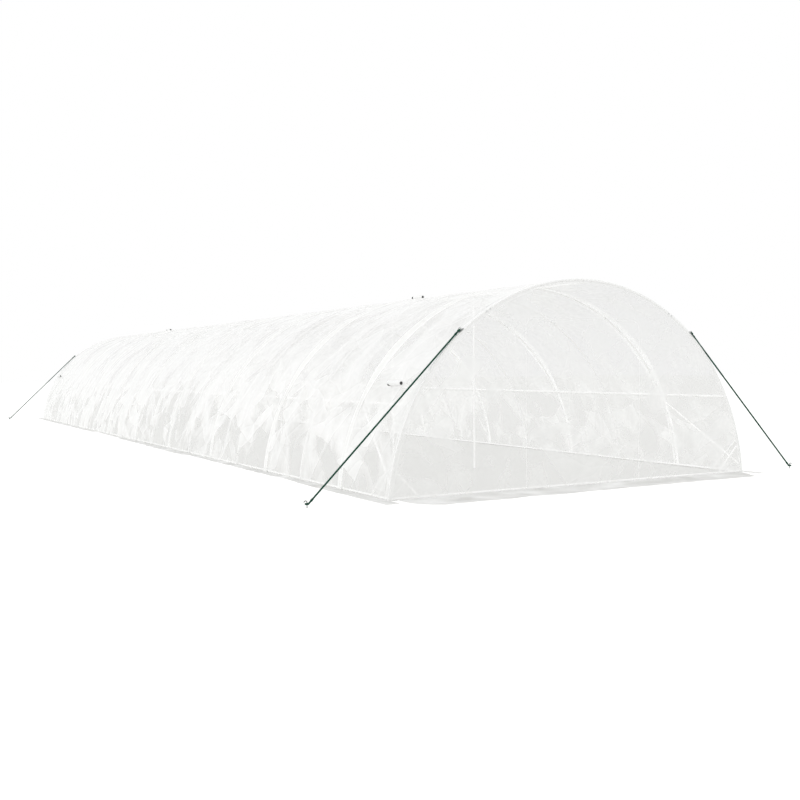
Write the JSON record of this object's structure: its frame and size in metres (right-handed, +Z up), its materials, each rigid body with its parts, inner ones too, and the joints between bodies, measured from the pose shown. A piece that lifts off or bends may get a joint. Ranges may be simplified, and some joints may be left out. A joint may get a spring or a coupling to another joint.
{
  "type": "polytunnel greenhouse",
  "caption": "Long film-covered hoop tunnel greenhouse with closed zip doors in both ends, ground skirts along every edge and guy ropes to pegs at the corners.",
  "frame": {"origin": "at ground level, under the middle of the tunnel", "axes": "+Y along the tunnel from the front end to the rear end, +X to the right seen from the front, +Z up"},
  "size_m": [6.824, 20.9666, 2.3635],
  "materials": {
    "tube": "satin white",
    "film": "translucent white film",
    "rope": "twisted cord",
    "steel": "galvanised",
    "sleeve": "matt white"
  },
  "bodies": {
    "root": {"hoop_01": "tube", "hoop_02": "tube", "hoop_03": "tube", "hoop_04": "tube", "hoop_05": "tube", "hoop_06": "tube", "hoop_07": "tube", "hoop_08": "tube", "hoop_09": "tube", "hoop_10": "tube", "hoop_11": "tube", "hoop_12": "tube", "hoop_13": "tube", "hoop_14": "tube", "hoop_15": "tube", "hoop_16": "tube", "hoop_17": "tube", "hoop_18": "tube", "hoop_19": "tube", "ridge_purlin": "tube", "left_purlin": "tube", "right_purlin": "tube", "left_ground_rail": "tube", "right_ground_rail": "tube", "front_ground_bar": "tube", "rear_ground_bar": "tube", "centre_posts": "tube", "corner_braces": "tube", "wind_braces": "tube", "cover_right_wall": "film", "cover_right_shoulder": "film", "cover_right_crown": "film", "cover_left_crown": "film", "cover_left_shoulder": "film", "cover_left_wall": "film", "front_end_panel": "film", "front_door_flap": "film", "rear_end_panel": "film", "rear_door_flap": "film", "left_skirt": "film", "right_skirt": "film", "front_skirt": "film", "rear_skirt": "film", "front_guy_ropes": "rope", "rear_guy_ropes": "rope", "rope_hooks": "steel", "ground_pegs": "steel", "cover_sleeves": "sleeve"}
  },
  "joints": []
}
